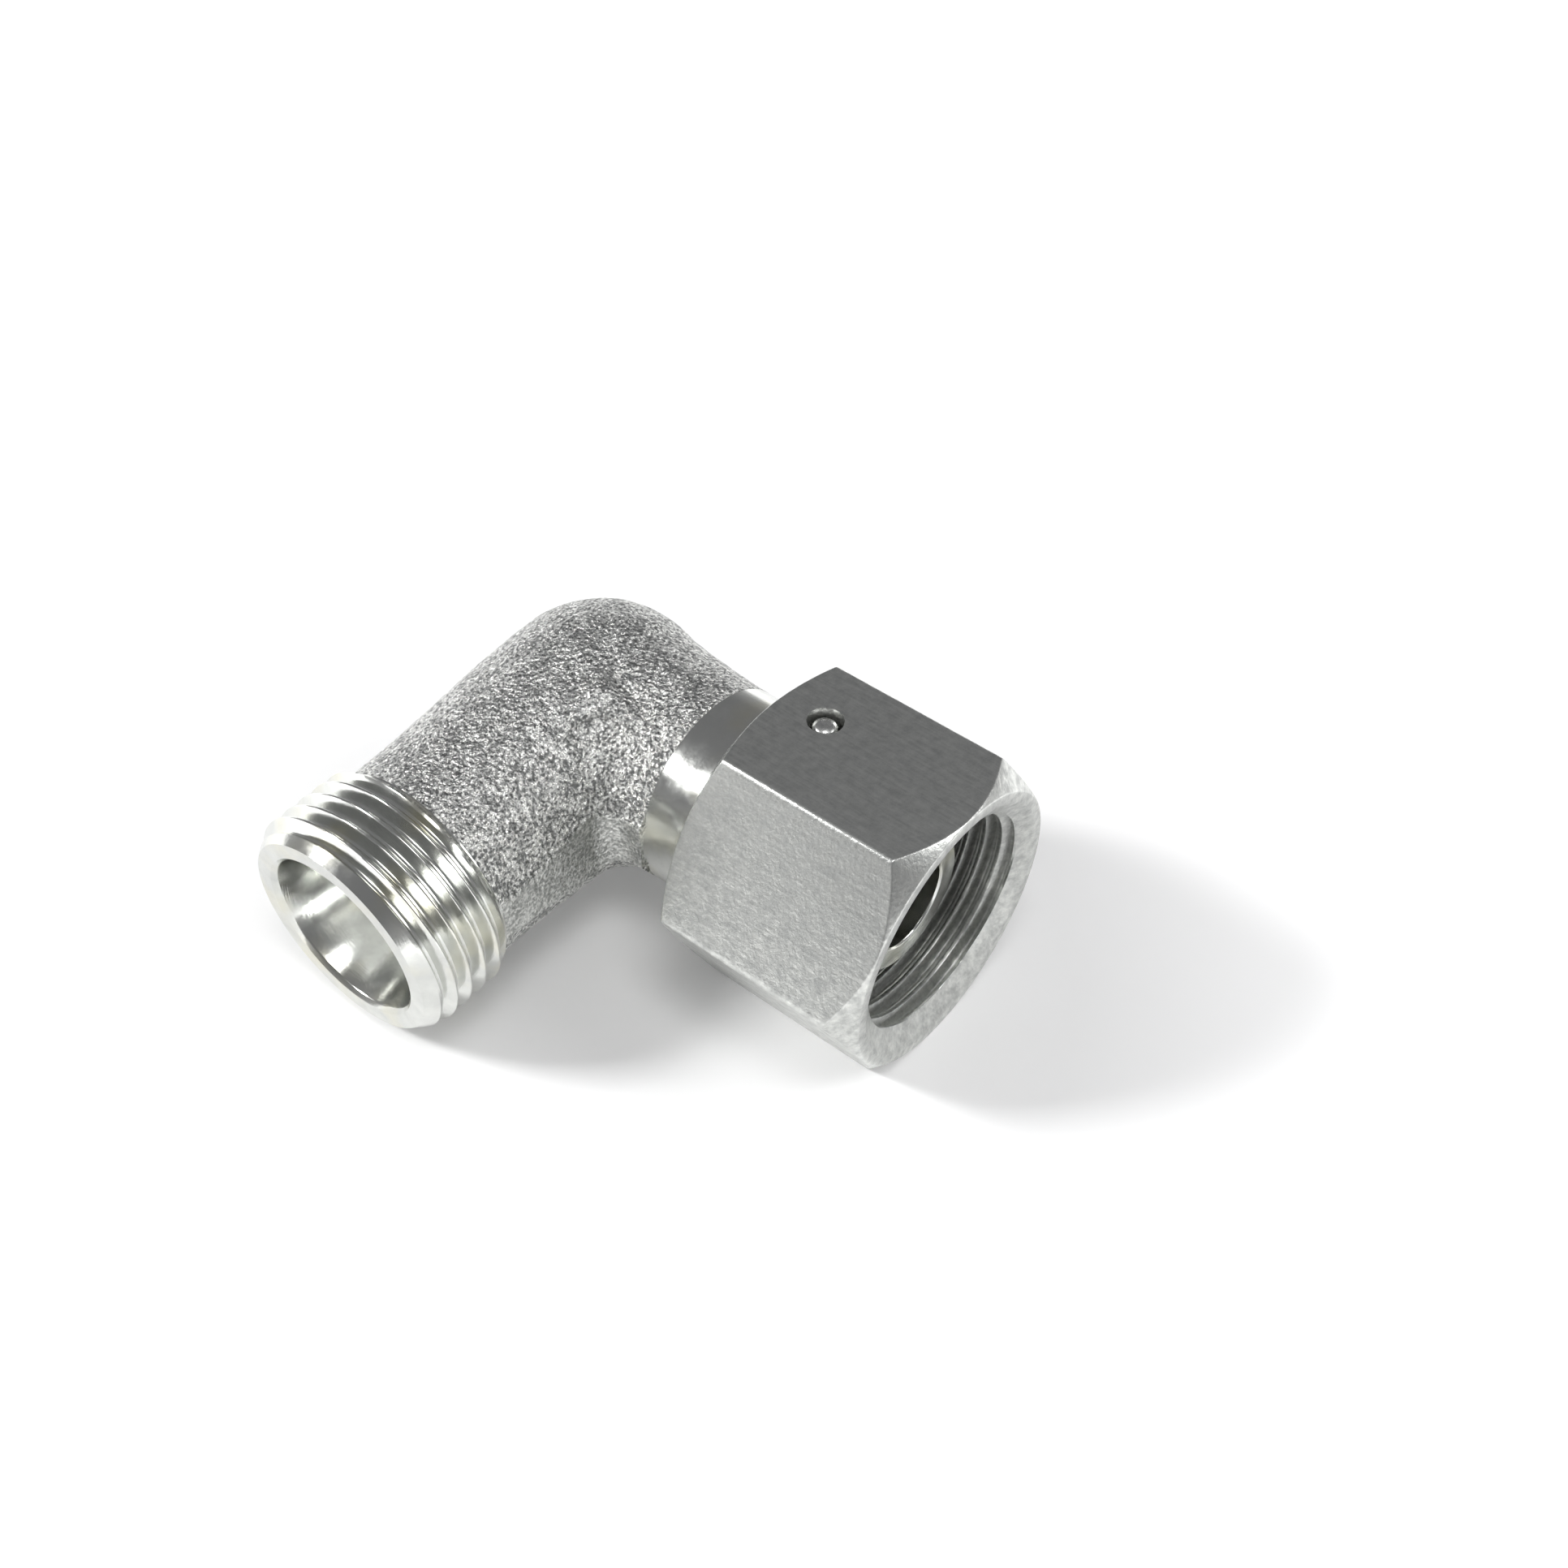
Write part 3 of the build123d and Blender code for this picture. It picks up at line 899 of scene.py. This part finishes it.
class Finish(Nodes):
    """One material's nodes. Patterns read the object's own coordinates, in millimetres about the
    crossing of the two axes, turned by an angle about the nut arm."""

    def __init__(self, name, turn=0.0, metal=1.0):
        self.material = bpy.data.materials.new(name)
        super().__init__(self.material)
        self.metal = metal
        inputs = {
            "Vector": self.add("TexCoord").outputs["Object"],
            "Location": Matrix.Rotation(turn, 3, "Y") @ Vector(-CENTRE),
            "Rotation": (0, turn, 0),
            "Scale": (1 / MM, 1 / MM, 1 / MM),
        }
        self.place = self.add("Mapping", inputs, vector_type="POINT").outputs[0]

    def look(self, base, roughness, normal):
        """Joins the colour, the roughness and the bumps to the shader."""
        inputs = {
            "Base Color": base, "Metallic": self.metal, "Roughness": roughness, "Normal": normal
        }
        shader = self.add("BsdfPrincipled", inputs)
        self.add("OutputMaterial", {"Surface": shader.outputs[0]})
        return self.material

    def noise(self, size, detail=2.0, roughness=0.5, stretch=None):
        """Soft random pattern, with features about this many millimetres across."""
        where = self.place
        if stretch:
            where = self.add("VectorMath", {0: where, 1: stretch}, operation="MULTIPLY").outputs[0]
        inputs = {"Vector": where, "Scale": 1 / size, "Detail": detail, "Roughness": roughness}
        return self.add("TexNoise", inputs).outputs["Fac"]

    def cells(self, size):
        """Distance to the nearest of scattered points this many millimetres apart."""
        inputs = {"Vector": self.place, "Scale": 1 / size}
        return self.add("TexVoronoi", inputs, feature="F1").outputs["Distance"]

    def bump(self, height, distance, strength=1.0, below=None):
        """Bends the surface by a height, in millimetres at full height."""
        inputs = {"Height": height, "Distance": distance * MM, "Strength": strength}
        if below is not None:
            inputs["Normal"] = below
        return self.add("Bump", inputs).outputs[0]


def forged_finish(colours):
    """Blasted and zinc plated forging: dull grey with bright specks, smoother on the land. The bright
    specks are painted glints off the blasted facets, and the dark tone is painted shade in the pits.
    """
    finish = Finish("forged_zinc", DIP)
    land = finish.add("Attribute", attribute_name="land").outputs["Fac"]
    rough_skin = finish.sum(1.0, finish.sum(land, 0.6, "MULTIPLY"), "SUBTRACT")
    mottle = finish.noise(1.3, 3.0, 0.6)
    glint_speck = finish.noise(0.28, 2.0, 0.6)
    # Painted sparkle and shade: bright specks stand in for glints off the blasted facets and the dark
    # tone for shade in the pits; the slower mottle is the zinc's own
    tone = finish.curve(finish.sum(glint_speck, finish.sum(mottle, 0.35, "MULTIPLY")), 0.58, 0.80)
    base = finish.blend(tone, colours.painted_pit_shade, colours.painted_speck_glint)
    base = finish.blend(finish.sum(land, 0.4, "MULTIPLY"), base, colours.zinc_light)
    gloss = finish.curve(glint_speck, 0.4, 0.6, 0.5, 0.22)
    grain = finish.bump(finish.noise(0.38, 3.0, 0.6), 0.36, rough_skin)
    grain = finish.bump(finish.cells(0.36), 0.11, rough_skin, grain)
    streak = finish.noise(0.35, 2.0, 0.6, stretch=(1, 1, 0.06))
    normal = finish.bump(streak, 0.01, land, grain)
    return finish.look(base, finish.curve(land, 0, 1, gloss, 0.3), normal)


def turned_finish(name, colours, turn, stretch):
    """Turned and zinc plated steel: bright, with fine tool rings across the stretched pattern."""
    finish = Finish(name, turn)
    cloud = finish.noise(1.6, 3.0, 0.6)
    tint = finish.noise(4.5, 2.0, 0.5)
    dull = finish.curve(cloud, 0.3, 0.75, 0.0, 0.35)
    base = finish.blend(dull, colours.zinc_light, colours.zinc_dark)
    base = finish.blend(finish.curve(tint, 0.5, 0.72, 0.0, 0.45), base, colours.zinc_yellow)
    rings = finish.bump(finish.noise(0.6, 1.0, 0.5, stretch=stretch), 0.004)
    normal = finish.bump(finish.noise(0.3, 2.0), 0.004, 1.0, rings)
    return finish.look(base, finish.curve(cloud, 0.3, 0.7, 0.12, 0.24), normal)


def nut_finish(colours):
    """Satin zinc plate on the drawn hexagon: faint mottling and fine lines along the nut."""
    finish = Finish("nut_zinc")
    mottle = finish.noise(0.8, 4.0, 0.6)
    lines = finish.noise(0.25, 2.0, 0.6, stretch=(1, 0.08, 1))
    tone = finish.curve(finish.sum(mottle, finish.sum(lines, 0.4, "MULTIPLY")), 0.5, 0.9, 0.0, 0.85)
    base = finish.blend(tone, colours.zinc_light, colours.zinc_dark)
    grain = finish.bump(finish.noise(0.34, 3.0, 0.6), 0.03)
    normal = finish.bump(lines, 0.006, 1.0, grain)
    return finish.look(base, finish.curve(mottle, 0.3, 0.7, 0.28, 0.4), normal)


def wire_finish(colours):
    """Bright drawn wire with duller patches."""
    finish = Finish("drawn_wire")
    cloud = finish.noise(0.5, 3.0, 0.6)
    base = finish.blend(finish.curve(cloud, 0.35, 0.75), colours.wire_light, colours.zinc_dark)
    return finish.look(base, finish.curve(cloud, 0.3, 0.7, 0.2, 0.35), finish.bump(cloud, 0.01))


def seal_finish(colours):
    """Black rubber with a dull moulded skin."""
    finish = Finish("seal_rubber", metal=0.0)
    cloud = finish.noise(0.6, 3.0, 0.6)
    worn = tuple(2.2 * channel for channel in colours.seal_black)
    base = finish.blend(cloud, colours.seal_black, worn)
    return finish.look(base, finish.curve(cloud, 0.3, 0.7, 0.45, 0.6), finish.bump(cloud, 0.01))


# Operators


class ELBOW_OT_forging(bpy.types.Operator):
    """Make the forged corner and its arms"""

    bl_idname = "elbow.forging"
    bl_label = "Forging"

    def execute(self, context):
        """Works out the skin, and marks the trimmed land for the finish."""
        s = sizes(context.scene.elbow_forging)
        points = elbow_world(forging_points(s))
        finish = forged_finish(context.scene.elbow_finish)
        hidden = ("elbow_body",)
        piece = make_piece("forging", points, finish, "elbow", hidden, crease=60)
        mark_points(piece, "land", trimmed_share(body_points(piece), s))
        return {"FINISHED"}


class ELBOW_OT_male_end(bpy.types.Operator):
    """Make the male thread with its cone and socket"""

    bl_idname = "elbow.male_end"
    bl_label = "Male End"

    def execute(self, context):
        """Works out the thread's rows and turns the rest."""
        points = elbow_world(male_end_points(sizes(context.scene.elbow_male_end)))
        finish = turned_finish("male_zinc", context.scene.elbow_finish, DIP, (6, 0.15, 0.15))
        make_piece("male_end", points, finish, "elbow", ("elbow_body",))
        return {"FINISHED"}


class ELBOW_OT_spigot(bpy.types.Operator):
    """Make the turned spigot that carries the nut"""

    bl_idname = "elbow.spigot"
    bl_label = "Spigot"

    def execute(self, context):
        """Turns the spigot's outline about the nut's axis."""
        points = elbow_world(spigot_points(sizes(context.scene.elbow_spigot)))
        finish = turned_finish("spigot_zinc", context.scene.elbow_finish, 0.0, (0.15, 6, 0.15))
        make_piece("spigot", points, finish, "elbow", ("elbow_body",))
        return {"FINISHED"}


class ELBOW_OT_nut(bpy.types.Operator):
    """Make the swivel nut"""

    bl_idname = "elbow.nut"
    bl_label = "Swivel Nut"

    def execute(self, context):
        """Works out the hexagon, the thread and the wire's hole."""
        points, faces = pierced_nut(sizes(context.scene.elbow_nut))
        finish = nut_finish(context.scene.elbow_finish)
        make_piece("nut_skin", CENTRE + points, finish, "nut", ("swivel_nut",), faces)
        return {"FINISHED"}


class ELBOW_OT_wire(bpy.types.Operator):
    """Make the thrust wire with its bent end"""

    bl_idname = "elbow.wire"
    bl_label = "Thrust Wire"

    def execute(self, context):
        """Carries a circle along the wire's path."""
        points = CENTRE + wire_points(sizes(context.scene.elbow_wire))
        finish = wire_finish(context.scene.elbow_finish)
        make_piece("thrust_wire", points, finish, "nut", ("retaining_wire",))
        return {"FINISHED"}


class ELBOW_OT_seal(bpy.types.Operator):
    """Make the O-ring"""

    bl_idname = "elbow.seal"
    bl_label = "O-Ring"

    def execute(self, context):
        """Turns a circle about the nut's axis."""
        points = elbow_world(ring_points(sizes(context.scene.elbow_seal)))
        finish = seal_finish(context.scene.elbow_finish)
        make_piece("seal_ring", points, finish, "elbow", ("o_ring",))
        return {"FINISHED"}


# Stage. Places and directions are in the elbow's millimetres.

CAMERA_PLACE = np.array([76.5, 80.4, 114.1])
CAMERA_AXES = np.array(
    [[-0.62336, 0.78193, 0.0001], [-0.58160, -0.46374, 0.66834], [0.52264, 0.41656, 0.74385]]
)
FOCAL_PIXELS = 2330
PHOTO_PIXELS = 1932
SENSOR_MM = 36
LAMP_AIM = np.array([10.0, 10.0, 0.0])
# Each lamp's place, width in millimetres and power in watts
LAMPS = {
    "side_box": ((-170, 260, 190), 150, 0.4),
    "key_box": ((240, -260, 300), 90, 1.55),
    "top_box": ((60, 120, 400), 160, 0.45),
}
HORIZON_LEVEL = 0.40
WALL_TOP = 0.35
WALL_BLUE = 1.03
SHADOW_GLOW = 0.12
SHADOW_NEAR = 35
SHADOW_FAR = 130


def stage_world(level):
    """Studio walls: even and pale around the floor's edge, darker above, and white to the camera."""
    world = bpy.data.worlds.new("studio")
    bpy.context.scene.world = world
    nodes = Nodes(world)
    split = nodes.add("SeparateXYZ", {0: nodes.add("TexCoord").outputs["Generated"]})
    ramp = nodes.add("ValToRGB", {0: split.outputs["Z"]})
    horizon, top = ramp.color_ramp.elements
    horizon.position, horizon.color = 0.0, (HORIZON_LEVEL, HORIZON_LEVEL, HORIZON_LEVEL, 1)
    top.position, top.color = WALL_TOP, (level, level, level * WALL_BLUE, 1)
    wall = nodes.add("Background", {"Color": ramp.outputs[0]}).outputs[0]
    white = nodes.add("Background", {"Color": (1, 1, 1, 1)}).outputs[0]
    seen = nodes.add("LightPath").outputs["Is Camera Ray"]
    mix = nodes.add("MixShader", {0: seen, 1: wall, 2: white})
    nodes.add("OutputWorld", {"Surface": mix.outputs[0]})


def stage_floor(half, paint, glow):
    """A flat pale floor, lifted to white for the camera and for reflections. Around the elbow it is
    lifted less, so the shadow stays."""
    mesh = bpy.data.meshes.new("floor")
    corners = np.array([(-1, -1, 0), (1, -1, 0), (1, 1, 0), (-1, 1, 0)]) * half * MM
    mesh.from_pydata(corners, [], [(0, 1, 2, 3)])
    material = bpy.data.materials.new("floor_paper")
    nodes = Nodes(material)
    place = nodes.add("TexCoord").outputs["Object"]
    away = nodes.add("VectorMath", {0: place}, operation="LENGTH").outputs["Value"]
    lift = nodes.curve(away, SHADOW_NEAR * MM, SHADOW_FAR * MM, SHADOW_GLOW, glow)
    path = nodes.add("LightPath").outputs
    seen = nodes.sum(path["Is Camera Ray"], path["Is Glossy Ray"], "MAXIMUM")
    seen = nodes.sum(seen, path["Is Transmission Ray"], "MAXIMUM")
    light = nodes.add("Emission", {"Strength": nodes.sum(seen, lift, "MULTIPLY")}).outputs[0]
    paper = nodes.add("BsdfDiffuse", {"Color": (*paint, 1)}).outputs[0]
    total = nodes.add("AddShader", {0: paper, 1: light})
    nodes.add("OutputMaterial", {"Surface": total.outputs[0]})
    mesh.materials.append(material)
    new_object("floor", mesh)


def stage_lamp(name, place, width, power):
    """A square soft box, turned to the elbow."""
    light = bpy.data.lights.new(name, "AREA")
    light.shape = "SQUARE"
    light.size = width * MM
    light.energy = power
    lamp = new_object(name, light)
    lamp.location = Vector(elbow_world(np.array(place, float)) * MM)
    aim = Vector(elbow_world(LAMP_AIM) * MM) - lamp.location
    lamp.rotation_euler = aim.to_track_quat("-Z", "Y").to_euler()


def stage_camera():
    """The photograph's camera, from its place and its three axes."""
    data = bpy.data.cameras.new("camera")
    data.sensor_fit = "HORIZONTAL"
    data.sensor_width = SENSOR_MM
    data.lens = SENSOR_MM * FOCAL_PIXELS / PHOTO_PIXELS
    data.clip_start = 0.01
    camera = new_object("camera", data)
    turn = Matrix((CAMERA_AXES @ ELBOW_AXES).T.tolist()).to_4x4()
    camera.matrix_world = Matrix.Translation(elbow_world(CAMERA_PLACE) * MM) @ turn
    bpy.context.scene.camera = camera


class ELBOW_OT_stage(bpy.types.Operator):
    """Make the floor, the lamps and the camera"""

    bl_idname = "elbow.stage"
    bl_label = "Stage"

    def execute(self, context):
        """Sets up a plain studio around the elbow."""
        s = sizes(context.scene.elbow_stage)
        stage_world(s.wall_level)
        stage_floor(s.floor_half, s.floor_colour, s.floor_glow)
        for name, (place, width, power) in LAMPS.items():
            stage_lamp(name, place, width, power)
        stage_camera()
        context.scene.view_settings.view_transform = "Standard"
        return {"FINISHED"}


class ELBOW_PT_panel(bpy.types.Panel):
    """Buttons and sizes of the elbow"""

    bl_idname = "ELBOW_PT_panel"
    bl_label = "Hydraulic Elbow"
    bl_space_type = "VIEW_3D"
    bl_region_type = "UI"
    bl_category = "Elbow"

    def draw(self, context):
        """Lists each operator, then each group of sizes."""
        for operator in OPERATORS:
            self.layout.operator(operator.bl_idname)
        for name in SETTINGS:
            group = getattr(context.scene, name)
            box = self.layout.box()
            box.label(text=name.replace("_", " ").title())
            for prop in own_properties(group):
                box.prop(group, prop.identifier)


OPERATORS = (
    ELBOW_OT_forging,
    ELBOW_OT_male_end,
    ELBOW_OT_spigot,
    ELBOW_OT_nut,
    ELBOW_OT_wire,
    ELBOW_OT_seal,
    ELBOW_OT_stage,
)
CLASSES = (*SETTINGS.values(), *OPERATORS, ELBOW_PT_panel)


def register():
    """Adds the classes, and each group of sizes to the scene."""
    for each in CLASSES:
        bpy.utils.register_class(each)
    for name, group in SETTINGS.items():
        setattr(bpy.types.Scene, name, PointerProperty(type=group))


def unregister():
    """Takes the classes and the groups of sizes away again."""
    for name in SETTINGS:
        delattr(bpy.types.Scene, name)
    for each in reversed(CLASSES):
        bpy.utils.unregister_class(each)


def main():
    """Makes every piece and the stage."""
    register()
    bpy.ops.elbow.forging()
    bpy.ops.elbow.male_end()
    bpy.ops.elbow.spigot()
    bpy.ops.elbow.nut()
    bpy.ops.elbow.wire()
    bpy.ops.elbow.seal()
    bpy.ops.elbow.stage()


if __name__ == "__main__":
    main()
